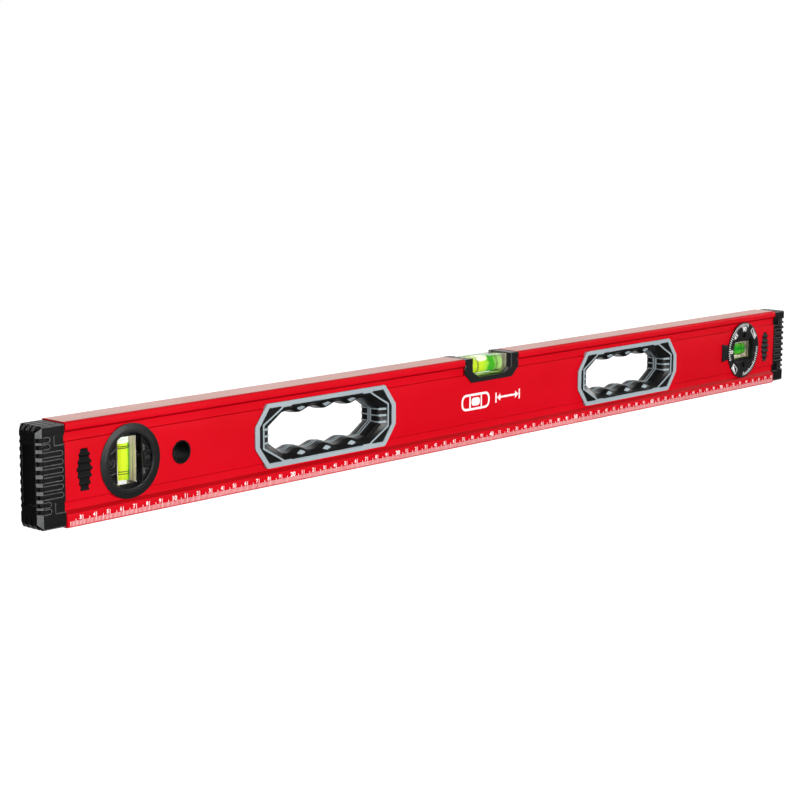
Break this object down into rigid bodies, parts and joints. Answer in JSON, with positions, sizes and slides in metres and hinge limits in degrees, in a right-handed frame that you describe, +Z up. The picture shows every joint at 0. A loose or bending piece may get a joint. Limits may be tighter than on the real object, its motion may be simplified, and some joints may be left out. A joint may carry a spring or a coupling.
{
  "type": "spirit level",
  "caption": "Box-section spirit level with hand grips, a top-read main vial, a plumb vial, a rotating angle vial, a hang hole and shock caps.",
  "frame": {"origin": "under the middle of the level, on its lower measuring face", "axes": "+X along the level towards the rotating vial, +Y from the printed front face to the rear, +Z up"},
  "size_m": [0.8, 0.022, 0.062],
  "materials": {
    "red_coat": "satin",
    "cap_black": "satin",
    "grip_black": "satin",
    "grip_grey": "matte",
    "housing_black": "satin",
    "clear_acrylic": "gloss",
    "vial_liquid": "gloss",
    "screw_steel": "satin"
  },
  "bodies": {
    "level": {"beam_profile": "red_coat", "left_end_cap": "cap_black", "right_end_cap": "cap_black", "left_cap_key": "cap_black", "right_cap_key": "cap_black", "left_grip_front_shell": "grip_black", "left_grip_rear_shell": "grip_black", "right_grip_front_shell": "grip_black", "right_grip_rear_shell": "grip_black", "left_grip_front_trim": "grip_grey", "left_grip_rear_trim": "grip_grey", "right_grip_front_trim": "grip_grey", "right_grip_rear_trim": "grip_grey", "plumb_housing_front": "housing_black", "plumb_housing_rear": "housing_black", "plumb_vial_block": "clear_acrylic", "plumb_vial_plug": "housing_black", "plumb_vial_liquid": "vial_liquid", "plumb_screw_left": "screw_steel", "plumb_screw_right": "screw_steel", "main_vial_housing": "housing_black", "main_vial_block": "clear_acrylic", "main_vial_plug": "housing_black", "main_vial_liquid": "vial_liquid", "rotary_seat_front": "housing_black", "rotary_seat_rear": "housing_black", "hang_bush_front": "housing_black", "hang_bush_rear": "housing_black"},
    "angle_dial": {"rotary_dial_front": "housing_black", "rotary_dial_rear": "housing_black", "rotary_vial_block": "clear_acrylic", "rotary_vial_plug": "housing_black", "rotary_vial_liquid": "vial_liquid", "rotary_screw_upper": "screw_steel", "rotary_screw_lower": "screw_steel"}
  },
  "joints": [
    {"name": "angle_dial_turn", "type": "hinge", "parent": "level", "child": "angle_dial", "pos_m": [0.333, 0, 0.033], "axis": [0, 1, 0], "continuous": true}
  ]
}
